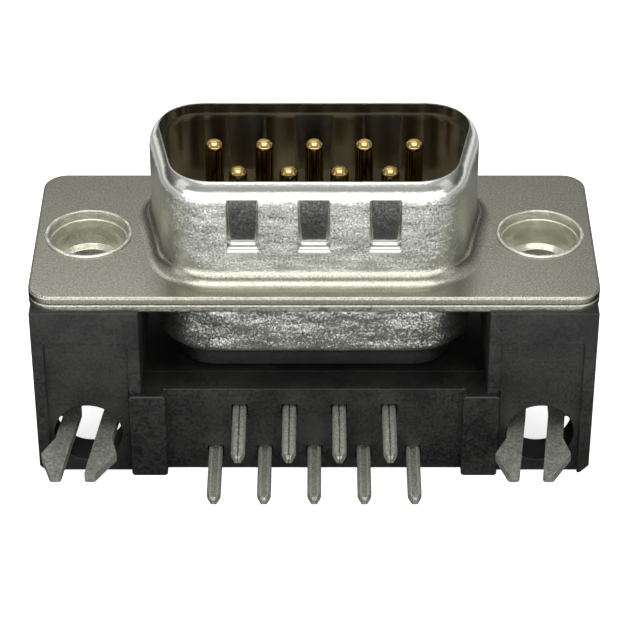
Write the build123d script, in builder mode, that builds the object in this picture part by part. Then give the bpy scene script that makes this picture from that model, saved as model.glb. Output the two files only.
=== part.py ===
"""Right-angle filtered nine-way plug with a D-shaped shell, for a circuit board.

Millimetres. The origin is the centre of the flange's front face, on the line between the two
threaded inserts. +Z is the way the mating connector leaves, +X runs along the nine contacts,
and -Y points at the circuit board, where the solder tails and the board locks go.
"""

import os
from math import cos, radians, sin, sqrt, tan

from build123d import *

# Contacts, their solder tails and the point of each tail
contact_pitch = 2.74
row_spacing = 2.84
far_count = 5
near_count = 4
pin_radius = 0.508
pin_tip = 5.2
pin_nose = 0.46
collar_radius = 0.72
collar_thickness = 0.5
tail_width = 0.76
tail_thickness = 0.5
tail_reach = 3.8
tail_point = 0.65
tail_point_width = 0.2
tail_point_chamfer = 0.12
# Far tails are open channels with square edges, near tails are rolled nearly shut
far_tail_corner = 0.12
far_channel_width = 0.36
far_channel_depth = 0.13
near_tail_corner = 0.22
near_seam_width = 0.08
near_seam_depth = 0.06
bend_radius = 0.7
tail_rows_middle = -9.05

# Shroud of the front shell: its wall outside stands this far from the outer contacts, and curls
# inwards at the mouth, which is pierced before the curl is complete
side_slope = 11
shroud_end = 3.57
shroud_side = 3.315
shroud_corner = 2.95
shroud_height = 6.0
shroud_root = 0.8
curl_radius = 1.5
mouth_inset = 0.57

# Flange, shared by both shells: distances from the shroud to the insert and on to the edges
sheet = 0.44
hole_clearance = 3.445
flange_end = 2.91
flange_side = 1.54
flange_corner = 1.3
flange_hole = 2.35
edge_roll = 0.13

# Cup of the rear shell, wider than the shroud all round
cup_step = 0.22
cup_depth = 3.9
cup_root = 0.18
cup_roll = 0.6
cup_lip = 0.5

# Grounding dimples, pressed into both long walls of the shroud above a rounded ledge
dimple_count = 3
dimple_pitch = 3.81
dimple_width = 1.7
dimple_slant = 0.2
dimple_depth = 0.45
dimple_top = 5.5
dimple_ledge = 2.15
dimple_edge = 0.28
dimple_corner = 0.12

# Insulators and filter, stacked along Z inside the shells
insulator_face = 0.1
front_insulator_back = -1.2
ferrite_back = -3.05
capacitor_back = -3.55
rear_insulator_back = -6.0
core_fit = 0.06
contact_hole = 0.52

# Bracket housing, set against the edges of the flange
flange_overhang = 0.105
housing_far_overhang = 0.075
face_reach = 0.225
bracket_gap = 0.02
bracket_block_back = -4.0
foot_thickness = 2.1
hood_floor = -6.2
hood_floor_thickness = 1.0
hood_wall = 0.75
hood_far_step = 0.6
rear_plane = -11.65
gusset = 0.6
foot_chamfer = 0.5
notch_clearance = 0.265
panel_depth = 0.25
panel_top = -2.87
panel_margin = 0.65
foot_hole = 1.87
window_clearance = 0.9

# Pin organiser
organiser_recess = 0.45
pad_rise = 0.3
pad_width = 2.0
pad_corner = 0.2
pad_edge = 0.08
seat_fit = 0.03
slot_clearance = 0.12
slot_height = 0.76

# Threaded inserts, turned, their mouth flared over the flange
insert_lip_radius = 2.43
insert_lip = 0.1
insert_lip_chamfer = 0.05
insert_fit = 0.02
insert_neck = 2.2
barrel_radius = 1.75
clinch_radius = 2.05
clinch_thickness = 0.5
# Bowl of the insert: two flares with a small step between them, then a deep wall and a floor
bowl_mouth_radius = 2.24
bowl_flare_radius = 2.14
bowl_flare = 0.4
bowl_step = 0.04
bowl_throat_radius = 2.0
bowl_throat = 0.84
bowl_floor_radius = 1.9
bowl_floor = 1.84
bowl_depth = 1.92
thread_radius = 1.42

# Board locks, stamped and folded: fork through the foot, strap up to the insert
lock_sheet = 0.5
lock_width = 3.12
lock_gap = 1.26
lock_barb = 0.5
lock_barb_root = -7.05
lock_barb_point = -8.45
lock_tip = -10.35
lock_tip_width = 0.58
lock_tip_corner = 0.2
lock_shoulder = 4.1
lock_slot_end = -3.2
strap_width = 3.0
strap_middle = -2.55
strap_bend = 0.5
# The forks sit loose in their holes: each leans to the left, and the right one lies off centre
lock_lean = 0.72
left_lock_shift = 0.12
right_lock_shift = -0.03

# Sizes and places that follow from the ones above
shroud_length = (far_count - 1) * contact_pitch + 2 * shroud_end
shroud_width = row_spacing + 2 * shroud_side
shroud = (shroud_length, shroud_width, shroud_corner)
cup = (shroud_length + 2 * cup_step, shroud_width + 2 * cup_step, shroud_corner + cup_step)
hole_spacing = shroud_length + 2 * hole_clearance
flange_length = hole_spacing + 2 * flange_end
flange_width = shroud_width + 2 * flange_side
full_curl = shroud_height + curl_radius - sqrt(curl_radius**2 - (curl_radius - mouth_inset) ** 2)
housing_half_length = flange_length / 2 - flange_overhang
housing_top = flange_width / 2 - housing_far_overhang
bracket_face = -flange_width / 2 - face_reach
bracket_inner = cup[0] / 2 + cup_root + bracket_gap
hood_far = housing_top - hood_far_step
panel_inner = bracket_inner + panel_margin
panel_outer = housing_half_length - panel_margin
window_half_length = (far_count - 1) * contact_pitch / 2 + tail_width / 2 + window_clearance
window_half_width = row_spacing / 2 + tail_thickness / 2 + window_clearance
organiser_face = bracket_face + organiser_recess
pad_face = bracket_face - pad_rise
slot_width = tail_width + slot_clearance
flange_back = -2 * sheet
cup_bottom = flange_back - cup_depth
foot_back = bracket_face + foot_thickness
near_tail_z = tail_rows_middle + row_spacing / 2
far_tail_z = tail_rows_middle - row_spacing / 2
tail_tip = pad_face - tail_reach
tab_back = bracket_block_back - lock_sheet
insert_back = tab_back - clinch_thickness
foot_inner = (hole_spacing - lock_shoulder) / 2 - notch_clearance
organiser_half_length = foot_inner - seat_fit - pad_width


def row_places(count):
    """X of each contact in a row of this many, centred on the plug."""
    return [(index - (count - 1) / 2) * contact_pitch for index in range(count)]


far_places = [(x, row_spacing / 2) for x in row_places(far_count)]
near_places = [(x, -row_spacing / 2) for x in row_places(near_count)]
contact_places = far_places + near_places
hole_places = [(-hole_spacing / 2, 0), (hole_spacing / 2, 0)]


def d_outline(size, inset=0.0):
    """D shape, wide side towards +Y, moved in by inset all round."""
    length, width, corner = size[0] - 2 * inset, size[1] - 2 * inset, size[2] - inset
    slope = radians(side_slope)
    overrun = corner * (cos(slope) - 1 + tan(slope) * (1 + sin(slope)))
    wide_side = length + 2 * overrun
    Trapezoid(wide_side, width, 90 - side_slope, rotation=180)
    fillet(vertices(), corner)


def flange_layer(top):
    """One layer of the flange with its front face at this height, its front edge rolled by the die."""
    with BuildPart() as layer:
        with BuildSketch(Plane.XY.offset(top)):
            RectangleRounded(flange_length, flange_width, flange_corner)
        extrude(amount=-sheet)
        fillet(faces().sort_by(Axis.Z)[-1].edges(), edge_roll)
        with Locations(*[(x, y, top) for x, y in hole_places]):
            Hole(flange_hole)
    return layer.part


def dimple_wedges(wall, width, thickness):
    """Wedges that deepen towards the flange, one for each dimple of the wall at this Y.

    They start this thickness inside the wall's outer face and end this much lower, on a ledge
    that is rounded out into the wall. Their sides slant.
    """
    inward = -1 if wall > 0 else 1
    face = wall + inward * thickness
    outside = face - inward * sheet / 2
    ledge = dimple_ledge - thickness
    quarter = dimple_edge * (1 - cos(radians(45)))
    spread = dimple_slant * (sheet / 2) / dimple_depth
    with BuildPart() as wedges:
        for index in range(dimple_count):
            x = (index - (dimple_count - 1) / 2) * dimple_pitch
            with BuildPart(mode=Mode.PRIVATE) as wedge:
                with BuildSketch(Plane.YZ.offset(x)):
                    with BuildLine():
                        FilletPolyline(
                            (outside, dimple_top),
                            (face, dimple_top),
                            (face + inward * dimple_depth, ledge),
                            (face + inward * dimple_edge, ledge),
                            radius=dimple_corner,
                        )
                        ThreePointArc(
                            (face + inward * dimple_edge, ledge),
                            (face + inward * quarter, ledge - quarter),
                            (face, ledge - dimple_edge),
                        )
                        Polyline(
                            (face, ledge - dimple_edge),
                            (outside, ledge - dimple_edge),
                            (outside, dimple_top),
                        )
                    make_face()
                extrude(amount=width, both=True)
                with BuildSketch():
                    with BuildLine():
                        Polyline(
                            (x - width / 2 - spread, outside),
                            (x + width / 2 + spread, outside),
                            (x + width / 2 - dimple_slant, face + inward * dimple_depth),
                            (x - width / 2 + dimple_slant, face + inward * dimple_depth),
                            close=True,
                        )
                    make_face()
                extrude(amount=dimple_top, mode=Mode.INTERSECT)
            add(wedge.part)
    return wedges.part


def inside(size):
    """Selector for edges that lie within a D shape's length and width."""
    return lambda edge: abs(edge.center().X) < size[0] / 2 and abs(edge.center().Y) < size[1] / 2


# Hollow inside of the shroud, flared where the sheet turns out into the flange
with BuildPart() as shroud_hollow:
    with BuildSketch(Plane.XY.offset(-sheet)):
        d_outline(shroud, sheet)
    extrude(amount=full_curl)
    fillet(faces().sort_by(Axis.Z)[-1].edges(), curl_radius - sheet)
    with BuildSketch(Plane.XY.offset(-sheet)):
        RectangleRounded(flange_length, flange_width, flange_corner)
    extrude(amount=-sheet)
    flare = edges().filter_by_position(Axis.Z, -sheet, -sheet).filter_by(inside(shroud))
    fillet(flare, shroud_root + sheet)

# Front shell: flange sheet drawn up into the shroud, its mouth pierced and left turned in
with BuildPart() as front_shell:
    add(flange_layer(0))
    with BuildSketch():
        d_outline(shroud)
    extrude(amount=full_curl)
    root = edges().filter_by_position(Axis.Z, 0, 0).filter_by(inside(shroud))
    fillet(root, shroud_root)
    fillet(faces().sort_by(Axis.Z)[-1].edges(), curl_radius)
    add(shroud_hollow.part, mode=Mode.SUBTRACT)
    for wall in (-shroud[1] / 2, shroud[1] / 2):
        add(dimple_wedges(wall, dimple_width + sheet, sheet))
        add(dimple_wedges(wall, dimple_width, 0), mode=Mode.SUBTRACT)
    with BuildSketch(Plane.XY.offset(full_curl)):
        d_outline(shroud, mouth_inset)
    extrude(amount=-curl_radius, mode=Mode.SUBTRACT)
front_shell.part.label = "front_shell"

# Hollow inside of the cup
with BuildPart() as cup_hollow:
    with BuildSketch(Plane.XY.offset(-sheet)):
        d_outline(cup, sheet)
    extrude(amount=cup_bottom + 2 * sheet)
    with BuildSketch(Plane.XY.offset(-sheet)):
        RectangleRounded(flange_length, flange_width, flange_corner)
    extrude(amount=sheet)
    flare = edges().filter_by_position(Axis.Z, -sheet, -sheet).filter_by(inside(cup))
    fillet(flare, cup_root + sheet)

# Rear shell: second layer of the flange, drawn down into a cup with a turned-in floor
with BuildPart() as rear_shell:
    add(flange_layer(-sheet))
    with BuildSketch(Plane.XY.offset(flange_back)):
        d_outline(cup)
    extrude(amount=-cup_depth)
    root = edges().filter_by_position(Axis.Z, flange_back, flange_back).filter_by(inside(cup))
    fillet(root, cup_root)
    fillet(faces().sort_by(Axis.Z)[0].edges(), cup_roll)
    add(cup_hollow.part, mode=Mode.SUBTRACT)
    with BuildSketch(Plane.XY.offset(cup_bottom)):
        d_outline(cup, sheet + cup_lip)
    extrude(amount=2 * sheet, mode=Mode.SUBTRACT)
rear_shell.part.label = "rear_shell"

# Front insulator: boss in the shroud's root, wider base in the cup, and a pocket for each collar
with BuildPart() as front_insulator:
    with BuildSketch(Plane.XY.offset(front_insulator_back)):
        d_outline(shroud, sheet + core_fit)
    extrude(amount=insulator_face - front_insulator_back)
    with BuildSketch(Plane.XY.offset(front_insulator_back)):
        d_outline(cup, sheet + core_fit)
    extrude(amount=flange_back - front_insulator_back)
    with Locations(*[(x, y, insulator_face) for x, y in contact_places]):
        Hole(contact_hole)
    with Locations(*[(x, y, front_insulator_back) for x, y in contact_places]):
        Cylinder(
            collar_radius + core_fit,
            collar_thickness,
            align=(Align.CENTER, Align.CENTER, Align.MIN),
            mode=Mode.SUBTRACT,
        )
front_insulator.part.label = "front_insulator"


def cup_slab(top, bottom, inset):
    """Slab of the cup's shape between two heights, with a hole for each contact."""
    with BuildPart() as slab:
        with BuildSketch(Plane.XY.offset(bottom)):
            d_outline(cup, sheet + inset)
            with Locations(*contact_places):
                Circle(contact_hole, mode=Mode.SUBTRACT)
        extrude(amount=top - bottom)
    return slab


# Ferrite block and capacitor array, the two halves of the filter
ferrite_block = cup_slab(front_insulator_back, ferrite_back, core_fit)
ferrite_block.part.label = "ferrite_block"
capacitor_array = cup_slab(ferrite_back, capacitor_back, core_fit)
capacitor_array.part.label = "capacitor_array"

# Rear insulator: sits on the cup's turned-in floor and stands out through it
with BuildPart() as rear_insulator:
    add(cup_slab(capacitor_back, cup_bottom + sheet, core_fit).part)
    add(cup_slab(cup_bottom + sheet, rear_insulator_back, cup_lip + core_fit).part)
rear_insulator.part.label = "rear_insulator"


def contact(x, y, tail_z, tail_corner, groove_width, groove_depth):
    """Contact at this X and Y: round pin, collar, and a leg bent over into its solder tail."""
    leg_top = front_insulator_back + collar_thickness
    with BuildPart() as body:
        with BuildSketch(Plane.XY.offset(leg_top)):
            with Locations((x, y)):
                Circle(pin_radius)
        extrude(amount=pin_tip - leg_top)
        fillet(faces().sort_by(Axis.Z)[-1].edges(), pin_nose)
        with BuildSketch(Plane.XY.offset(front_insulator_back)):
            with Locations((x, y)):
                Circle(collar_radius)
        extrude(amount=collar_thickness)
        with BuildLine(Plane.YZ.offset(x)) as route:
            FilletPolyline(
                (y, front_insulator_back + collar_thickness / 2),
                (y, tail_z),
                (tail_tip, tail_z),
                radius=bend_radius,
            )
        with BuildSketch(Plane(origin=(x, tail_tip, tail_z), x_dir=(1, 0, 0), z_dir=(0, -1, 0))):
            RectangleRounded(tail_width, tail_thickness, tail_corner)
        sweep(path=route.wires()[0])
        with BuildSketch(Plane.XY.offset(tail_z + tail_thickness / 2)):
            with Locations((x, (tail_tip + tail_point + organiser_face) / 2)):
                SlotOverall(organiser_face - tail_tip, groove_width, rotation=90)
        extrude(amount=-groove_depth, mode=Mode.SUBTRACT)
        for side in (-1, 1):
            point = Plane(
                origin=(x + side * tail_point_width / 2, tail_tip, tail_z),
                x_dir=(0, 0, 1),
                z_dir=(side * tail_point, -(tail_width - tail_point_width) / 2, 0),
            )
            split(bisect_by=point, keep=Keep.BOTTOM)
        chamfer(faces().sort_by(Axis.Y)[0].edges().filter_by(Axis.X), tail_point_chamfer)
    return body


contacts = [
    contact(x, y, far_tail_z, far_tail_corner, far_channel_width, far_channel_depth)
    for x, y in far_places
] + [
    contact(x, y, near_tail_z, near_tail_corner, near_seam_width, near_seam_depth)
    for x, y in near_places
]
for number, one_contact in enumerate(contacts, 1):
    one_contact.part.label = f"contact_{number}"

# Bracket housing: a bracket at each end, joined by the hood over the bent legs
with BuildPart() as bracket_housing:
    # Block under the flange
    with BuildSketch(Plane.XY.offset(flange_back)):
        with Locations((bracket_inner, bracket_face)):
            Rectangle(
                housing_half_length - bracket_inner,
                housing_top - bracket_face,
                align=Align.MIN,
            )
    extrude(amount=bracket_block_back - flange_back)
    # Foot plate, notched for the organiser's pad
    with BuildSketch(Plane.XZ.offset(-foot_back)):
        with BuildLine():
            Polyline(
                (bracket_inner, bracket_block_back),
                (housing_half_length, bracket_block_back),
                (housing_half_length, rear_plane + foot_chamfer),
                (housing_half_length - foot_chamfer, rear_plane),
                (foot_inner, rear_plane),
                (foot_inner, hood_floor),
                (bracket_inner, hood_floor),
                close=True,
            )
        make_face()
    extrude(amount=foot_thickness)
    # Outer gusset behind the foot plate
    with BuildSketch(Plane.YZ.offset(housing_half_length)):
        with BuildLine():
            Polyline(
                (foot_back, rear_plane + foot_chamfer),
                (foot_back, bracket_block_back),
                (hood_far, bracket_block_back),
                close=True,
            )
        make_face()
    extrude(amount=-gusset)
    # Side wall of the hood
    with BuildSketch(Plane.XY.offset(bracket_block_back)):
        with Locations((bracket_inner, foot_back)):
            Rectangle(hood_wall, hood_far - foot_back, align=Align.MIN)
    extrude(amount=rear_plane - bracket_block_back)
    # Recessed panel on the foot's outer face, open at the rear
    with BuildSketch(Plane.XZ.offset(-bracket_face)):
        with Locations((panel_inner, rear_plane)):
            Rectangle(panel_outer - panel_inner, panel_top - rear_plane, align=Align.MIN)
    extrude(amount=-panel_depth, mode=Mode.SUBTRACT)
    # Round hole for the board lock
    with BuildSketch(Plane.XZ.offset(-bracket_face)):
        with Locations((hole_spacing / 2, tail_rows_middle)):
            Circle(foot_hole)
    extrude(amount=-foot_thickness, mode=Mode.SUBTRACT)
    # Stepped hole for the threaded insert
    with Locations((hole_spacing / 2, 0, flange_back)):
        CounterBoreHole(barrel_radius + insert_fit, flange_hole, flange_back + insert_neck)
    mirror(about=Plane.YZ)
    # Hood: floor with a window for the legs, and the far wall
    with BuildSketch(Plane.XY.offset(hood_floor)):
        with Locations((0, (foot_back + hood_far) / 2)):
            Rectangle(2 * bracket_inner, hood_far - foot_back)
        Rectangle(2 * window_half_length, 2 * window_half_width, mode=Mode.SUBTRACT)
    extrude(amount=-hood_floor_thickness)
    with BuildSketch(Plane.XZ.offset(-hood_far)):
        with Locations((0, (hood_floor + rear_plane) / 2)):
            Rectangle(2 * bracket_inner, hood_floor - rear_plane)
    extrude(amount=hood_wall)
bracket_housing.part.label = "bracket_housing"

# Pin organiser: plate with a window for each tail, and a proud pad at each end
with BuildPart() as pin_organiser:
    organiser_middle = (hood_floor + rear_plane) / 2
    organiser_height = hood_floor - rear_plane
    with BuildSketch(Plane.XZ.offset(-foot_back)):
        with Locations((0, organiser_middle)):
            Rectangle(2 * (organiser_half_length + pad_width), organiser_height)
        for tail_z, row in ((far_tail_z, far_places), (near_tail_z, near_places)):
            with Locations(*[(x, tail_z) for x, y in row]):
                Rectangle(slot_width, slot_height, mode=Mode.SUBTRACT)
    extrude(amount=foot_back - organiser_face)
    pad_middle = organiser_half_length + pad_width / 2
    with BuildSketch(Plane.XZ.offset(-organiser_face)):
        with Locations((-pad_middle, organiser_middle), (pad_middle, organiser_middle)):
            RectangleRounded(pad_width, organiser_height, pad_corner)
    extrude(amount=organiser_face - pad_face)
    fillet(faces().group_by(Axis.Y)[0].edges(), pad_edge)
pin_organiser.part.label = "pin_organiser"


def threaded_insert(x):
    """Turned insert on the flange hole at this X, its thread left as a plain bore."""
    with BuildPart() as insert:
        with BuildSketch(Plane(origin=(x, 0, 0), x_dir=(1, 0, 0), z_dir=(0, -1, 0))):
            with BuildLine():
                Polyline(
                    (thread_radius, -bowl_depth),
                    (thread_radius, insert_back),
                    (clinch_radius, insert_back),
                    (clinch_radius, tab_back),
                    (barrel_radius, tab_back),
                    (barrel_radius, -insert_neck),
                    (flange_hole - insert_fit, -insert_neck),
                    (flange_hole - insert_fit, 0),
                    (insert_lip_radius, 0),
                    (insert_lip_radius, insert_lip - insert_lip_chamfer),
                    (insert_lip_radius - insert_lip_chamfer, insert_lip),
                    (bowl_mouth_radius, insert_lip),
                    (bowl_flare_radius, -bowl_flare),
                    (bowl_flare_radius - bowl_step, -bowl_flare),
                    (bowl_throat_radius, -bowl_throat),
                    (bowl_floor_radius, -bowl_floor),
                    close=True,
                )
            make_face()
        revolve(axis=Axis((x, 0, 0), (0, 0, 1)))
    return insert


def board_lock(x, shift):
    """Board lock on the foot hole at this X, its fork moved sideways by shift and leaning."""
    lean = lock_lean / (foot_back - lock_tip)
    with BuildPart() as lock:
        with BuildSketch(Plane.YZ.offset(x)):
            with BuildLine():
                FilletPolyline(
                    (lock_slot_end, tail_rows_middle),
                    (strap_middle, tail_rows_middle),
                    (strap_middle, bracket_block_back - lock_sheet / 2),
                    (-strap_middle, bracket_block_back - lock_sheet / 2),
                    radius=strap_bend,
                )
            trace(line_width=lock_sheet)
        extrude(amount=strap_width / 2, both=True)
        with BuildSketch(Plane.XY.offset(bracket_block_back)):
            with Locations((x, 0)):
                Rectangle(lock_shoulder, -2 * (strap_middle + strap_bend))
        extrude(amount=-lock_sheet)
        with BuildSketch(Plane.XY.offset(bracket_block_back)):
            with Locations((x, 0)):
                Circle(barrel_radius + insert_fit)
        extrude(amount=-lock_sheet, mode=Mode.SUBTRACT)
        for side in (-1, 1):
            inner = side * lock_gap / 2
            outer = side * lock_width / 2
            leg = [
                (inner, foot_back),
                (inner, lock_tip),
                (inner + side * lock_tip_width, lock_tip),
                (outer + side * lock_barb, lock_barb_point),
                (outer, lock_barb_root),
                (outer, foot_back),
            ]
            leaning = [(x + dx + shift - lean * (foot_back - y), y) for dx, y in leg]
            shoulder = [
                (x + side * lock_shoulder / 2, foot_back),
                (x + side * lock_shoulder / 2, lock_slot_end),
                (x + inner, lock_slot_end),
            ]
            with BuildSketch(Plane.XY.offset(tail_rows_middle + lock_sheet / 2)):
                with BuildLine():
                    Polyline(*leaning, *shoulder, close=True)
                make_face()
                fillet(vertices().group_by(Axis.Y)[0], lock_tip_corner)
            extrude(amount=-lock_sheet)
    return lock


left_x, right_x = hole_places[0][0], hole_places[1][0]
threaded_insert_left = threaded_insert(left_x)
threaded_insert_left.part.label = "threaded_insert_left"
threaded_insert_right = threaded_insert(right_x)
threaded_insert_right.part.label = "threaded_insert_right"
board_lock_left = board_lock(left_x, left_lock_shift)
board_lock_left.part.label = "board_lock_left"
board_lock_right = board_lock(right_x, right_lock_shift)
board_lock_right.part.label = "board_lock_right"

pieces = [
    front_shell,
    rear_shell,
    front_insulator,
    ferrite_block,
    capacitor_array,
    rear_insulator,
    *contacts,
    bracket_housing,
    pin_organiser,
    threaded_insert_left,
    threaded_insert_right,
    board_lock_left,
    board_lock_right,
]
os.makedirs("parts", exist_ok=True)
for piece in pieces:
    export_step(piece.part, f"parts/{piece.part.label}.step")
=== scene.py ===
"""Looks of a right-angle, board-mounted filter plug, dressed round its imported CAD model.

Everything is in metres in the part's own frame: the origin is the centre of the flange's front face,
+Z is the way the mating half leaves, +X runs along the contacts and -Y points at the circuit board.
"""

import math

import bpy
import numpy as np
from bpy.props import FloatProperty, FloatVectorProperty, PointerProperty
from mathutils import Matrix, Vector


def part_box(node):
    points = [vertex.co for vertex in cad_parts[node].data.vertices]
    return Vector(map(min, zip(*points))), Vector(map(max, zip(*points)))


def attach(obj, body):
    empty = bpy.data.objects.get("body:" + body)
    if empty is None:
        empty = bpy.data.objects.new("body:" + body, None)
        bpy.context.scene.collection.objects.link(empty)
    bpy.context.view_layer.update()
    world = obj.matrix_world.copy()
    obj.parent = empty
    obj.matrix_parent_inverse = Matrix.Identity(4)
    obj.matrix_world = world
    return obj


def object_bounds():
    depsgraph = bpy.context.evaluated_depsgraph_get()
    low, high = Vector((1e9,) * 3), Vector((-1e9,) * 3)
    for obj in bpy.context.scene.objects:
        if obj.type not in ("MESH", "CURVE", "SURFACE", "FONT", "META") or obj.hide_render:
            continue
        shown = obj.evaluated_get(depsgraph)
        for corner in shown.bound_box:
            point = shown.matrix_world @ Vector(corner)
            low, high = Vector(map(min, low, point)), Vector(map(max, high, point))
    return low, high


bl_info = {
    "name": "Filter plug",
    "version": (1, 0, 0),
    "blender": (4, 5, 0),
    "location": "View3D > Sidebar > Plug",
    "description": "Finishes, threads, lamps and camera of a right-angle filter plug",
    "category": "Object",
}

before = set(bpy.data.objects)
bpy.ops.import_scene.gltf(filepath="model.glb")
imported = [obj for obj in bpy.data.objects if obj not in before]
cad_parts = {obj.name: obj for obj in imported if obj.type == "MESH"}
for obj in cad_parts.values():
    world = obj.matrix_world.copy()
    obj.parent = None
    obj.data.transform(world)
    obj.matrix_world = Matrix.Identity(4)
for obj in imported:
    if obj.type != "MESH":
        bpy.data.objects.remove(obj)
CAD_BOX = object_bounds()
MM = 0.001

# Colour inputs of the Mix node, whose names it uses for its other inputs too
MIX_A, MIX_B = 6, 7

# Radii of the edges that only the shading rounds, in millimetres
SHEET_EDGE, TURNED_EDGE, MOULDED_EDGE = 0.13, 0.07, 0.08

# The drawn sheets, in millimetres: where the root's bend starts, and how far the burnish eases in
BEND_START, BURNISH_EASE = 0.4, 0.35

# The tails, in millimetres: from the middle to a channel's edge, and how far a seam wavers
CHANNEL_EDGE, SEAM_WAVER = 0.19, 0.1

# Dimples on each long side of the shroud, in millimetres, their heights from the flange's front face
DIMPLE_COUNT, DIMPLE_PITCH, DIMPLE_WIDTH = 3, 3.81, 1.5
DIMPLE_FOOT, DIMPLE_TOP = 1.8, 5.4

# Heights on the contacts, in millimetres: where the tin starts, and where the pin's shaft turns to its nose
PLATING_LINE = -1.5
NOSE_FOOT, NOSE_TOP = 4.2, 4.8

# The thread's highest point and its distance from the insert's back, how far its root lies in the bore's
# wall, all in millimetres, and the width of its root and its crest as a share of the pitch
THREAD_START, THREAD_RUNOUT, THREAD_OVERLAP = -2.3, 0.35, 0.01
THREAD_ROOT, THREAD_CREST = 0.92, 0.2
STEPS_PER_TURN = 48


def linear(hex_colour):
    """Linear red, green and blue of an sRGB hex colour such as "8a8a86"."""
    shares = [int(hex_colour[place : place + 2], 16) / 255 for place in (0, 2, 4)]
    return tuple(s / 12.92 if s <= 0.04045 else ((s + 0.055) / 1.055) ** 2.4 for s in shares)


def opaque(colour):
    """Colour with the fourth number that a shader socket asks for."""
    return (*colour[:3], 1.0)


def add_node(tree, kind, inputs=None, **settings):
    """Adds a node of this kind with these settings.

    Inputs go by name or number. A socket is linked, a node is linked by its first output in use, and
    anything else is set.
    """
    made = tree.nodes.new("ShaderNode" + kind)
    for name, value in settings.items():
        setattr(made, name, value)
    for name, value in (inputs or {}).items():
        if isinstance(value, bpy.types.Node):
            value = next(output for output in value.outputs if output.enabled)
        if isinstance(value, bpy.types.NodeSocket):
            tree.links.new(value, made.inputs[name])
        else:
            made.inputs[name].default_value = value
    return made


def span(value, low, high, first=0.0, last=1.0):
    """Inputs of a Map Range node that takes a value from low and high to first and last."""
    return {"Value": value, "From Min": low, "From Max": high, "To Min": first, "To Max": last}


def grains(place, width, detail, roughness=0.5):
    """Inputs of a Noise Texture node whose grains are this many millimetres wide."""
    return {"Vector": place, "Scale": 1 / (width * MM), "Detail": detail, "Roughness": roughness}


def new_material(name):
    """New material of this name, its empty node tree and the place in Object coordinates."""
    material = bpy.data.materials.new(name)
    material.use_nodes = True
    tree = material.node_tree
    tree.nodes.clear()
    return material, tree, add_node(tree, "TexCoord").outputs["Object"]


def dress(node_names, material):
    """Puts a material on CAD nodes."""
    for name in node_names:
        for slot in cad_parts[name].material_slots:
            slot.link = "OBJECT"
            slot.material = material


class PlugFinish(bpy.types.PropertyGroup):
    """Colours and grain sizes of the plug's finishes."""

    tin: FloatVectorProperty(
        name="Tin",
        description="Bright tin on the drawn shells",
        subtype="COLOR",
        default=linear("a7a79b"),
    )
    matte_tin: FloatVectorProperty(
        name="Matte tin",
        description="Matte tin on the solder tails and the board locks",
        subtype="COLOR",
        default=linear("a5a69c"),
    )
    gold: FloatVectorProperty(
        name="Gold",
        description="Gold on the round pins",
        subtype="COLOR",
        default=linear("c0a468"),
    )
    plastic: FloatVectorProperty(
        name="Plastic",
        description="Glass-filled polyester of the housing",
        subtype="COLOR",
        default=linear("171716"),
    )
    peel: FloatProperty(
        name="Orange peel",
        description="Width of the grains that drawing raises in the sheet, in millimetres",
        default=0.11,
        min=0.05,
        max=1.0,
    )
    peel_tilt: FloatProperty(
        name="Orange peel tilt",
        description="How steep those grains are",
        default=0.8,
        min=0.0,
        max=4.0,
    )
    satin: FloatProperty(
        name="Satin",
        description="Roughness of the tin plate",
        default=0.26,
        min=0.0,
        max=1.0,
    )
    mottle: FloatProperty(
        name="Mottle",
        description="Width of the fine marks that glass fibre leaves in the plastic, in millimetres",
        default=0.16,
        min=0.05,
        max=1.0,
    )


class PlugThread(bpy.types.PropertyGroup):
    """Sizes of the thread in the two inserts."""

    major: FloatProperty(
        name="Major radius",
        description="Radius at the root of the inside thread, in millimetres",
        default=1.42,
        min=0.5,
        max=5.0,
    )
    minor: FloatProperty(
        name="Minor radius",
        description="Radius at the crest of the inside thread, in millimetres",
        default=1.12,
        min=0.4,
        max=4.5,
    )
    pitch: FloatProperty(
        name="Pitch",
        description="Rise of the thread in one turn, in millimetres",
        default=0.635,
        min=0.2,
        max=2.0,
    )


class PlugStage(bpy.types.PropertyGroup):
    """Camera, lamps and floor."""

    elevation: FloatProperty(
        name="Camera elevation",
        description="Height of the view above the horizon",
        subtype="ANGLE",
        unit="ROTATION",
        default=math.radians(34.89),
    )
    distance: FloatProperty(
        name="Camera distance",
        description="Distance from the camera to the point it looks at",
        unit="LENGTH",
        default=148.5 * MM,
    )
    target: FloatVectorProperty(
        name="Camera target",
        description="Point that the camera looks at",
        subtype="TRANSLATION",
        unit="LENGTH",
        default=(0.317 * MM, 0.0, -5.798 * MM),
    )
    lens: FloatProperty(
        name="Lens",
        description="Focal length on a sensor 36 mm wide",
        default=147.5,
        min=20,
        max=400,
    )
    floor: FloatVectorProperty(
        name="Floor",
        description="Colour of the floor",
        subtype="COLOR",
        default=linear("f2f2f2"),
    )
    surround: FloatProperty(
        name="Surround",
        description="Brightness of the room overhead",
        default=0.8,
        min=0.0,
        max=2.0,
    )


def steep(tree, place, width, strength):
    """Tilt of a surface that is broken into grains this wide: a random vector of about this strength."""
    noise = add_node(tree, "TexNoise", grains(place, width, 3.0, 0.65)).outputs["Color"]
    even = add_node(tree, "VectorMath", {0: noise, 1: (0.5, 0.5, 0.5)}, operation="SUBTRACT")
    return add_node(tree, "VectorMath", {0: even, "Scale": strength}, operation="SCALE")


def tilted(tree, normal, *tilts):
    """Normal of a surface after these tilts."""
    for tilt in tilts:
        normal = add_node(tree, "VectorMath", {0: normal, 1: tilt}, operation="ADD")
    return add_node(tree, "VectorMath", {0: normal}, operation="NORMALIZE")


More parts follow.
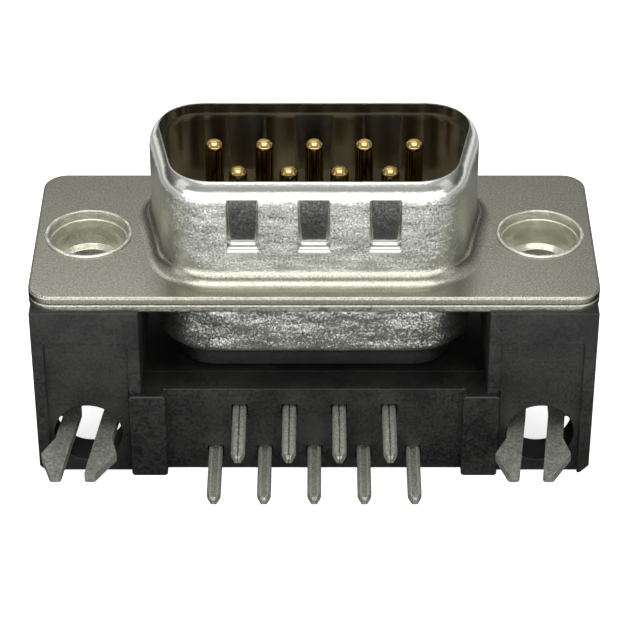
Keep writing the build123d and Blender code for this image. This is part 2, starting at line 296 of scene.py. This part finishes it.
def speckled(tree, place, colour, width, darkest):
    """Colour with specks this wide, down to a share of its brightness and as far above it."""
    noise = add_node(tree, "TexNoise", grains(place, width, 2.0, 0.6))
    tone = add_node(tree, "MapRange", span(noise, 0.3, 0.7, darkest, 2 - darkest))
    return add_node(tree, "VectorMath", {0: colour, "Scale": tone}, operation="SCALE")


def off_dimples(tree, place):
    """1 on the plain sheet and 0 on the dimples, a row of equal boxes along X.

    The place along the row is wrapped to one pitch, so that one box does for all of them.
    """
    along, _, height = add_node(tree, "SeparateXYZ", {0: place}).outputs
    half_pitch = DIMPLE_PITCH * MM / 2
    middle = (DIMPLE_FOOT + DIMPLE_TOP) / 2 * MM
    wrapped = add_node(tree, "Math", {0: along, 1: half_pitch, 2: -half_pitch}, operation="WRAP")
    raised = add_node(tree, "Math", {0: height, 1: middle}, operation="SUBTRACT")
    off = 0.0
    for offset, width in (
        (wrapped, DIMPLE_WIDTH),
        (along, DIMPLE_COUNT * DIMPLE_PITCH),
        (raised, DIMPLE_TOP - DIMPLE_FOOT),
    ):
        distance = add_node(tree, "Math", {0: offset}, operation="ABSOLUTE")
        past = add_node(tree, "Math", {0: distance, 1: width / 2 * MM}, operation="GREATER_THAN")
        off = add_node(tree, "Math", {0: past, 1: off}, operation="MAXIMUM")
    return off


def drawn_tin(name, finish, root, curl, roughening, dimpled=False):
    """Bright tin plate on drawn steel.

    The eye gets a warm satin grey on the flat sheet. Outside, from the bend at the root to the curl,
    both in millimetres from the flange, the draw stretched the sheet, and it gets a mirror broken into
    sparkling grains and level waves, deeper with more roughening. The tools burnished the curl and the
    dimples smooth again. The grains are as coarse as they need to be to show. From the root's bend on,
    inside and out, the colour turns paler and cooler, a painted reflection of bluish surroundings.
    """
    material, tree, place = new_material(name)
    height = add_node(tree, "SeparateXYZ", {0: place}).outputs["Z"]
    away = add_node(tree, "Math", {0: height}, operation="ABSOLUTE")
    stretched = add_node(
        tree, "MapRange", span(away, BEND_START * MM, root * MM), interpolation_type="SMOOTHSTEP"
    )
    burnished = add_node(
        tree,
        "MapRange",
        span(away, curl * MM, (curl + BURNISH_EASE) * MM, 1.0, 0.12),
        interpolation_type="SMOOTHSTEP",
    )
    level = add_node(tree, "VectorMath", {0: place, 1: (1.0, 1.0, 0.0)}, operation="MULTIPLY")
    true_normal = add_node(tree, "NewGeometry").outputs["True Normal"]
    facing = add_node(tree, "VectorMath", {0: level, 1: true_normal}, operation="DOT_PRODUCT")
    outside = add_node(tree, "Math", {0: facing, 1: 0.0}, operation="GREATER_THAN")
    limits = [burnished, outside]
    if dimpled:
        limits.append(add_node(tree, "MapRange", span(off_dimples(tree, place), 0.0, 1.0, 0.1, 1.0)))
    drawn = stretched
    for limit in limits:
        drawn = add_node(tree, "Math", {0: drawn, 1: limit}, operation="MULTIPLY")

    deepest = 0.1 + finish.peel_tilt * roughening
    peel_tilt = add_node(tree, "MapRange", span(drawn, 0.0, 1.0, 0.1, deepest))
    wave_tilt = add_node(tree, "Math", {0: drawn, 1: 0.5 * roughening**2}, operation="MULTIPLY")
    along_sheet = add_node(tree, "VectorMath", {0: place, 1: (0.25, 0.25, 1.0)}, operation="MULTIPLY")
    normal = tilted(
        tree,
        add_node(tree, "Bevel", {"Radius": SHEET_EDGE * MM}, samples=4),
        steep(tree, place, finish.peel * roughening, peel_tilt),
        steep(tree, along_sheet, 0.5, wave_tilt),
    )

    drift = add_node(tree, "TexNoise", grains(place, 3.0, 3.0))
    flat_colours = {0: drift, MIX_A: opaque(finish.tin), MIX_B: opaque(linear("a19f90"))}
    flat = speckled(tree, place, add_node(tree, "Mix", flat_colours, data_type="RGBA"), 0.1, 0.76)
    # Painted reflection: from the root's bend on, the tin colour turns paler and cooler, as if mirroring
    # bluish surroundings
    colours = {0: stretched, MIX_A: flat, MIX_B: opaque(linear("c8cac2"))}
    smooth = add_node(tree, "MapRange", span(stretched, 0.0, 1.0, finish.satin, 0.7 * finish.satin))
    rough = {0: drawn, 1: 0.5 * finish.satin, 2: smooth}
    shader = add_node(
        tree,
        "BsdfPrincipled",
        {
            "Base Color": add_node(tree, "Mix", colours, data_type="RGBA"),
            "Metallic": 1.0,
            "Roughness": add_node(tree, "Math", rough, operation="MULTIPLY_ADD"),
            "Normal": normal,
        },
    )
    add_node(tree, "OutputMaterial", {"Surface": shader})
    return material


def turned_tin():
    """Bright tin on turned brass: the eye gets a pale metal with fine rings left by the tool."""
    material, tree, place = new_material("bright_tin_on_turned_brass")
    rings = add_node(tree, "VectorMath", {0: place, 1: (0.2, 0.2, 1.0)}, operation="MULTIPLY")
    rounded = add_node(tree, "Bevel", {"Radius": TURNED_EDGE * MM}, samples=4)
    shader = add_node(
        tree,
        "BsdfPrincipled",
        {
            "Base Color": speckled(tree, place, linear("dcdccf"), 0.1, 0.92),
            "Metallic": 0.85,
            "Roughness": 0.24,
            "Normal": tilted(tree, rounded, steep(tree, rings, 0.12, 0.35)),
        },
    )
    add_node(tree, "OutputMaterial", {"Surface": shader})
    return material


def seam_shade(tree, place, noise):
    """Brightness of the tails across their width.

    Each near tail has a dark wavering seam, where the rolled sheet meets itself, and each far one two
    faint lines of painted highlight, where its channel's edges catch the light. The rows stand half a
    pitch apart along X, so X is wrapped to one pitch, and shifted by half of it on the near row.
    """
    far_box, near_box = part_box("contact_1"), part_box("contact_6")
    half_pitch = (near_box[0].x + near_box[1].x - far_box[0].x - far_box[1].x) / 2
    between_rows = (near_box[0].z + far_box[0].z) / 2
    x, _, z = add_node(tree, "SeparateXYZ", {0: place}).outputs
    near = add_node(tree, "Math", {0: z, 1: between_rows}, operation="GREATER_THAN")
    shifted = add_node(tree, "Math", {0: near, 1: -half_pitch, 2: x}, operation="MULTIPLY_ADD")
    across = add_node(tree, "Math", {0: shifted, 1: half_pitch, 2: -half_pitch}, operation="WRAP")
    waver = add_node(tree, "MapRange", span(noise, 0.0, 1.0, -SEAM_WAVER * MM, SEAM_WAVER * MM))
    wavered = add_node(tree, "Math", {0: across, 1: waver}, operation="ADD")
    off_seam = add_node(tree, "Math", {0: wavered}, operation="ABSOLUTE")
    seam = add_node(
        tree, "MapRange", span(off_seam, 0.015 * MM, 0.06 * MM, 0.3, 1.0), interpolation_type="SMOOTHSTEP"
    )
    off_middle = add_node(tree, "Math", {0: across}, operation="ABSOLUTE")
    past_edge = add_node(tree, "Math", {0: off_middle, 1: CHANNEL_EDGE * MM}, operation="SUBTRACT")
    off_edge = add_node(tree, "Math", {0: past_edge}, operation="ABSOLUTE")
    # Painted highlight: the far tails' tone rises by half along their channel edges
    edge = add_node(
        tree, "MapRange", span(off_edge, 0.01 * MM, 0.05 * MM, 1.5, 1.0), interpolation_type="SMOOTHSTEP"
    )
    return add_node(tree, "Mix", {"Factor": near, "A": edge, "B": seam}, data_type="FLOAT")


def contact_plating(finish):
    """Gold on the pin and matte tin on the tail, of one phosphor bronze contact.

    The eye gets a mirror that is deep yellow on the nose and darkened to brown down the shaft by painted
    shade, and on the tail a dull grey with fine specks, a dark seam on the near row and lines of painted
    highlight on the far row. The plating line lies inside the insulators, so it follows height alone.
    """
    material, tree, place = new_material("gold_and_matte_tin_on_bronze")
    height = add_node(tree, "SeparateXYZ", {0: place}).outputs["Z"]
    on_pin = add_node(tree, "Math", {0: height, 1: PLATING_LINE * MM}, operation="GREATER_THAN")
    on_nose = add_node(tree, "MapRange", span(height, NOSE_FOOT * MM, NOSE_TOP * MM))
    # Painted shade: below the nose the gold darkens to brown, standing in for the dark interior the shaft
    # mirrors
    gold_with_painted_shaft_shade = {0: on_nose, MIX_A: opaque(linear("7d673f")), MIX_B: opaque(finish.gold)}
    gold = add_node(tree, "Mix", gold_with_painted_shaft_shade, data_type="RGBA")
    noise = add_node(tree, "TexNoise", grains(place, 0.18, 3.0))
    tin_colours = {0: noise, MIX_A: opaque(finish.matte_tin), MIX_B: opaque(linear("8c8d82"))}
    tin = speckled(tree, place, add_node(tree, "Mix", tin_colours, data_type="RGBA"), 0.14, 0.72)
    shaded = {0: tin, "Scale": seam_shade(tree, place, noise)}
    tail = add_node(tree, "VectorMath", shaded, operation="SCALE")
    tilt = steep(tree, place, 0.16, add_node(tree, "MapRange", span(on_pin, 0.0, 1.0, 0.7, 0.05)))
    shader = add_node(
        tree,
        "BsdfPrincipled",
        {
            "Base Color": add_node(tree, "Mix", {0: on_pin, MIX_A: tail, MIX_B: gold}, data_type="RGBA"),
            "Metallic": add_node(tree, "MapRange", span(on_pin, 0.0, 1.0, 0.65, 1.0)),
            "Roughness": add_node(tree, "MapRange", span(on_pin, 0.0, 1.0, 0.5, 0.11)),
            "Normal": tilted(tree, add_node(tree, "NewGeometry").outputs["Normal"], tilt),
        },
    )
    add_node(tree, "OutputMaterial", {"Surface": shader})
    return material


def matte_tin(finish):
    """Matte tin on stamped steel: the eye gets a dull, blotched and speckled grey."""
    material, tree, place = new_material("matte_tin_on_stamped_steel")
    blotch = add_node(tree, "TexNoise", grains(place, 0.45, 4.0))
    colours = {0: blotch, MIX_A: opaque(finish.matte_tin), MIX_B: opaque(linear("80837b"))}
    tin = add_node(tree, "Mix", colours, data_type="RGBA")
    smooth = add_node(tree, "NewGeometry").outputs["Normal"]
    shader = add_node(
        tree,
        "BsdfPrincipled",
        {
            "Base Color": speckled(tree, place, tin, 0.16, 0.7),
            "Metallic": 0.65,
            "Roughness": 0.45,
            "Normal": tilted(tree, smooth, steep(tree, place, 0.2, 0.9)),
        },
    )
    add_node(tree, "OutputMaterial", {"Surface": shader})
    return material


def glass_filled_plastic(name, colour, mottle, roughness):
    """Moulded glass-filled polyester: the eye gets a deep tone with a fine mottle and a soft sheen.

    The marks are wider than the fibres that leave them, so that they show.
    """
    material, tree, place = new_material(name)
    marks = add_node(tree, "TexNoise", grains(place, mottle, 3.0, 0.6))
    flow = add_node(tree, "TexNoise", grains(place, 2.5, 2.0))
    tone = add_node(tree, "Math", {0: marks, 1: flow}, operation="MULTIPLY")
    shade = add_node(tree, "MapRange", span(tone, 0.15, 0.36))
    darker, lighter = ([share * factor for share in colour] for factor in (0.3, 2.1))
    colours = {0: shade, MIX_A: opaque(darker), MIX_B: opaque(lighter)}
    worn = add_node(tree, "Bevel", {"Radius": MOULDED_EDGE * MM}, samples=4)
    roughnesses = roughness - 0.08, roughness + 0.1
    relief = {"Height": marks, "Strength": 0.5, "Distance": 0.008 * MM, "Normal": worn}
    shader = add_node(
        tree,
        "BsdfPrincipled",
        {
            "Base Color": add_node(tree, "Mix", colours, data_type="RGBA"),
            "Roughness": add_node(tree, "MapRange", span(marks, 0.3, 0.7, *roughnesses)),
            "IOR": 1.55,
            "Normal": add_node(tree, "Bump", relief),
        },
    )
    add_node(tree, "OutputMaterial", {"Surface": shader})
    return material


def sintered(name, colour, grain):
    """Pressed and fired ceramic: the eye gets a dull grain."""
    material, tree, place = new_material(name)
    noise = add_node(tree, "TexNoise", grains(place, grain, 4.0))
    darker = [share * 0.7 for share in colour]
    skin = add_node(tree, "Mix", {0: noise, MIX_A: opaque(colour), MIX_B: opaque(darker)}, data_type="RGBA")
    shader = add_node(tree, "BsdfPrincipled", {"Base Color": skin, "Roughness": 0.7})
    add_node(tree, "OutputMaterial", {"Surface": shader})
    return material


def grid_mesh(name, points, material):
    """Mesh object from an array of points of shape (rows, columns, 3), closed round its columns and capped.

    Each four neighbours make a face, and a fan closes each end. Faces point away from the line of the
    rows' middles where a row runs clockwise seen from the next row.
    """
    rows, columns = points.shape[:2]
    index = np.arange(rows * columns).reshape(rows, columns)
    right = np.roll(index, -1, axis=1)
    quads = np.stack([index[:-1], right[:-1], right[1:], index[1:]], axis=-1).reshape(-1, 4)
    faces = quads.tolist() + [index[0, ::-1].tolist(), index[-1].tolist()]
    mesh = bpy.data.meshes.new(name)
    mesh.from_pydata(points.reshape(-1, 3).tolist(), [], faces)
    mesh.materials.append(material)
    mesh.polygons.foreach_set("use_smooth", np.ones(len(mesh.polygons), bool))
    mesh.validate()
    made = bpy.data.objects.new(name, mesh)
    bpy.context.scene.collection.objects.link(made)
    return made


def thread_ridge(x, top, bottom, thread):
    """Points of the ridge of an inside thread round the vertical line at this x.

    A trapezoid with its wide side just behind the major radius and its narrow side on the minor radius
    turns round the line and rises by the pitch each turn. Its depth fades almost to nothing over the
    first and last half turn.
    """
    pitch = thread.pitch * MM
    turns = (top - bottom) / pitch
    share = np.linspace(0, 1, int(turns * STEPS_PER_TURN) + 1)
    angle = share * turns * 2 * math.pi
    fade = np.clip(np.minimum(share, 1 - share) * turns * 2, 0.02, 1)
    root = (thread.major + THREAD_OVERLAP) * MM
    depth = (thread.major - thread.minor) * MM
    across = np.array([-THREAD_ROOT, -THREAD_CREST, THREAD_CREST, THREAD_ROOT]) / 2 * pitch
    inward = np.array([0.0, 1.0, 1.0, 0.0])
    radius = root - inward * fade[:, None] * depth
    height = bottom + (top - bottom) * share[:, None] + across * np.where(inward > 0, 1, fade[:, None])
    return np.stack([x + radius * np.cos(angle)[:, None], radius * np.sin(angle)[:, None], height], axis=-1)


class PLUG_OT_shells(bpy.types.Operator):
    """Finish the two drawn shells"""

    bl_idname = "plug.shells"
    bl_label = "Shells"

    def execute(self, context):
        finish = context.scene.plug_finish
        shroud = drawn_tin(
            "bright_tin_on_drawn_shroud", finish, root=1.0, curl=4.9, roughening=1.0, dimpled=True
        )
        cup = drawn_tin("bright_tin_on_drawn_cup", finish, root=1.2, curl=4.2, roughening=1.1)
        dress(["front_shell"], shroud)
        dress(["rear_shell"], cup)
        return {"FINISHED"}


class PLUG_OT_inserts(bpy.types.Operator):
    """Finish the threaded inserts and cut their threads"""

    bl_idname = "plug.inserts"
    bl_label = "Threaded inserts"

    def execute(self, context):
        material = turned_tin()
        thread = context.scene.plug_thread
        for side in ("left", "right"):
            node = f"threaded_insert_{side}"
            dress([node], material)
            low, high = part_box(node)
            x = (low.x + high.x) / 2
            ridge = thread_ridge(x, THREAD_START * MM, low.z + THREAD_RUNOUT * MM, thread)
            piece = grid_mesh(f"thread_{side}", ridge, material)
            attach(piece, "root")
        return {"FINISHED"}


class PLUG_OT_contacts(bpy.types.Operator):
    """Plate the nine contacts"""

    bl_idname = "plug.contacts"
    bl_label = "Contacts"

    def execute(self, context):
        contacts = [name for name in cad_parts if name.startswith("contact_")]
        dress(contacts, contact_plating(context.scene.plug_finish))
        return {"FINISHED"}


class PLUG_OT_housing(bpy.types.Operator):
    """Finish the moulded bracket housing and the pin organiser"""

    bl_idname = "plug.housing"
    bl_label = "Housing"

    def execute(self, context):
        finish = context.scene.plug_finish
        plastic = glass_filled_plastic("glass_filled_polyester", finish.plastic, finish.mottle, 0.45)
        dress(["bracket_housing", "pin_organiser"], plastic)
        return {"FINISHED"}


class PLUG_OT_filter(bpy.types.Operator):
    """Finish the insulators and the filter between them"""

    bl_idname = "plug.filter"
    bl_label = "Filter and insulators"

    def execute(self, context):
        brown = glass_filled_plastic("brown_moulded_insulator", linear("55492f"), 0.2, 0.5)
        dress(["front_insulator"], brown)
        black = glass_filled_plastic("black_moulded_insulator", linear("070707"), 0.2, 0.45)
        dress(["rear_insulator"], black)
        dress(["ferrite_block"], sintered("sintered_ferrite", linear("3a3a3c"), 0.1))
        dress(["capacitor_array"], sintered("fired_ceramic", linear("b49f88"), 0.08))
        return {"FINISHED"}


class PLUG_OT_board_locks(bpy.types.Operator):
    """Finish the two forked board locks"""

    bl_idname = "plug.board_locks"
    bl_label = "Board locks"

    def execute(self, context):
        dress(["board_lock_left", "board_lock_right"], matte_tin(context.scene.plug_finish))
        return {"FINISHED"}


def area_lamp(name, place, target, size, brightness):
    """Rectangular soft lamp at a place in millimetres, turned to a target, with an even brightness."""
    light = bpy.data.lights.new(name, "AREA")
    light.shape = "RECTANGLE"
    light.size, light.size_y = size[0] * MM, size[1] * MM
    light.energy = brightness * math.pi * light.size * light.size_y
    lamp = bpy.data.objects.new(name, light)
    lamp.location = Vector(place) * MM
    lamp.rotation_euler = (Vector(target) * MM - lamp.location).to_track_quat("-Z", "Y").to_euler()
    bpy.context.scene.collection.objects.link(lamp)


def level_square(name, half, height, material):
    """Level square of the stage, given half its side and its height in metres."""
    corners = [(-half, -half), (half, -half), (half, half), (-half, half)]
    mesh = bpy.data.meshes.new(name)
    mesh.from_pydata([(x, y, height) for x, y in corners], [], [(0, 1, 2, 3)])
    mesh.materials.append(material)
    square = bpy.data.objects.new(name, mesh)
    bpy.context.scene.collection.objects.link(square)
    return square


def painted_shadow_card():
    """Black card whose cover follows the distance from the plug, measured shorter along X than along Y.

    It is painted shadow that only reflections show, standing for the shade on the floor round the plug.
    It hides the floor near the plug, most of it further out, and nothing at its edge.
    """
    material, tree, place = new_material("painted_shadow_card")
    stretch = {0: place, 1: (0.6, 1.0, 0.0), 2: (0.0, -6 * MM, 0.0)}
    round_plug = add_node(tree, "VectorMath", stretch, operation="MULTIPLY_ADD")
    away = add_node(tree, "VectorMath", {0: round_plug}, operation="LENGTH")
    near, middle, far = (
        add_node(
            tree, "MapRange", span(away, low * MM, high * MM, first, last), interpolation_type="SMOOTHSTEP"
        )
        for low, high, first, last in ((25, 31, 1.0, 0.48), (31, 40, 0.0, 0.2), (75, 95, 1.0, 0.0))
    )
    dense = add_node(tree, "Math", {0: near, 1: middle}, operation="ADD")
    cover = add_node(tree, "Math", {0: dense, 1: far}, operation="MULTIPLY")
    # Painted shadow: the card's dark colour stands in for the shaded floor round the plug
    card = add_node(tree, "BsdfDiffuse", {"Color": opaque(linear("161616"))})
    clear = add_node(tree, "BsdfTransparent")
    surface = add_node(tree, "MixShader", {0: cover, 1: clear, 2: card})
    add_node(tree, "OutputMaterial", {"Surface": surface})
    return material


def white_paper(stage):
    """Diffuse paper that keeps the shadow, lifted to white for camera, glossy and transmission rays."""
    material, tree, _ = new_material("white_paper")
    path = add_node(tree, "LightPath").outputs
    seen = path["Is Camera Ray"]
    for ray in ("Is Glossy Ray", "Is Transmission Ray"):
        seen = add_node(tree, "Math", {0: seen, 1: path[ray]}, operation="MAXIMUM")
    paper = add_node(tree, "BsdfDiffuse", {"Color": opaque(stage.floor)})
    glow = add_node(tree, "Emission", {"Color": (1, 1, 1, 1), "Strength": 0.75})
    lifted = add_node(tree, "AddShader", {0: paper, 1: glow})
    surface = add_node(tree, "MixShader", {0: seen, 1: paper, 2: lifted})
    add_node(tree, "OutputMaterial", {"Surface": surface})
    return material


def room(stage):
    """World that brightens from the horizon to the ceiling, and is white where the camera sees it."""
    world = bpy.data.worlds.new("room")
    world.use_nodes = True
    tree = world.node_tree
    tree.nodes.clear()
    direction = add_node(tree, "TexCoord").outputs["Generated"]
    upward = add_node(tree, "SeparateXYZ", {0: direction}).outputs["Z"]
    brightness = add_node(tree, "MapRange", span(upward, 0.25, 0.9, 0.15 * stage.surround, stage.surround))
    graded = add_node(tree, "Background", {"Color": (1, 1, 1, 1), "Strength": brightness})
    white = add_node(tree, "Background", {"Color": (1, 1, 1, 1), "Strength": 1.0})
    seen = add_node(tree, "LightPath").outputs["Is Camera Ray"]
    surface = add_node(tree, "MixShader", {0: seen, 1: graded, 2: white})
    add_node(tree, "OutputWorld", {"Surface": surface})
    return world


def add_camera(stage):
    """Camera in front of the plug and above it, turned to its target."""
    camera_data = bpy.data.cameras.new("camera")
    camera_data.lens = stage.lens
    camera_data.sensor_width = 36
    camera_data.clip_start, camera_data.clip_end = 0.01, 10
    camera = bpy.data.objects.new("camera", camera_data)
    back = Vector((0, -math.cos(stage.elevation), math.sin(stage.elevation)))
    camera.location = Vector(stage.target) + back * stage.distance
    camera.rotation_euler = (-back).to_track_quat("-Z", "Y").to_euler()
    bpy.context.scene.collection.objects.link(camera)
    bpy.context.scene.camera = camera


class PLUG_OT_stage(bpy.types.Operator):
    """Set up the floor, the lamps and the camera"""

    bl_idname = "plug.stage"
    bl_label = "Stage"

    def execute(self, context):
        stage = context.scene.plug_stage
        floor_height = CAD_BOX[0].z
        level_square("floor", 1.5, floor_height, white_paper(stage))

        # Only reflections show the card, a painted shadow of the floor round the plug that the drawn walls
        # mirror
        flag = level_square("painted_shadow_flag", 160 * MM, floor_height + 0.05 * MM, painted_shadow_card())
        flag.visible_camera = False
        flag.visible_diffuse = False
        flag.visible_shadow = False

        context.scene.world = room(stage)
        area_lamp("softbox_above", (0, -22, 150), target=(0, -22, 0), size=(130, 124), brightness=2.5)
        area_lamp("card_in_front", (0, -75, 15), target=(0, 0, 15), size=(260, 52), brightness=2.3)
        area_lamp("softbox_left", (-130, -40, 60), target=(0, 0, 0), size=(60, 90), brightness=0.9)
        area_lamp("softbox_right", (130, -40, 60), target=(0, 0, 0), size=(60, 90), brightness=0.7)
        area_lamp("softbox_behind", (-16, 62, 87), target=(-16, 0, 87), size=(76, 80), brightness=0.85)
        add_camera(stage)
        context.scene.view_settings.view_transform = "Standard"
        return {"FINISHED"}


class PLUG_PT_sidebar(bpy.types.Panel):
    """Lists the plug's steps and its settings"""

    bl_idname = "PLUG_PT_sidebar"
    bl_label = "Filter plug"
    bl_space_type = "VIEW_3D"
    bl_region_type = "UI"
    bl_category = "Plug"

    def draw(self, context):
        for group in ("plug_finish", "plug_thread", "plug_stage"):
            settings = getattr(context.scene, group)
            box = self.layout.box()
            for name in settings.__annotations__:
                box.prop(settings, name)
        for operator in OPERATORS:
            self.layout.operator(operator.bl_idname)


GROUPS = {"plug_finish": PlugFinish, "plug_thread": PlugThread, "plug_stage": PlugStage}
OPERATORS = (
    PLUG_OT_shells,
    PLUG_OT_inserts,
    PLUG_OT_contacts,
    PLUG_OT_housing,
    PLUG_OT_filter,
    PLUG_OT_board_locks,
    PLUG_OT_stage,
)


def register():
    """Registers the settings, the steps and the panel."""
    for name, group in GROUPS.items():
        bpy.utils.register_class(group)
        setattr(bpy.types.Scene, name, PointerProperty(type=group))
    for step in (*OPERATORS, PLUG_PT_sidebar):
        bpy.utils.register_class(step)


def unregister():
    """Takes them away again."""
    for step in (PLUG_PT_sidebar, *reversed(OPERATORS)):
        bpy.utils.unregister_class(step)
    for name, group in GROUPS.items():
        delattr(bpy.types.Scene, name)
        bpy.utils.unregister_class(group)


def main():
    """Runs every step in order."""
    register()
    for operator in OPERATORS:
        group, step = operator.bl_idname.split(".")
        getattr(getattr(bpy.ops, group), step)()


if __name__ == "__main__":
    main()
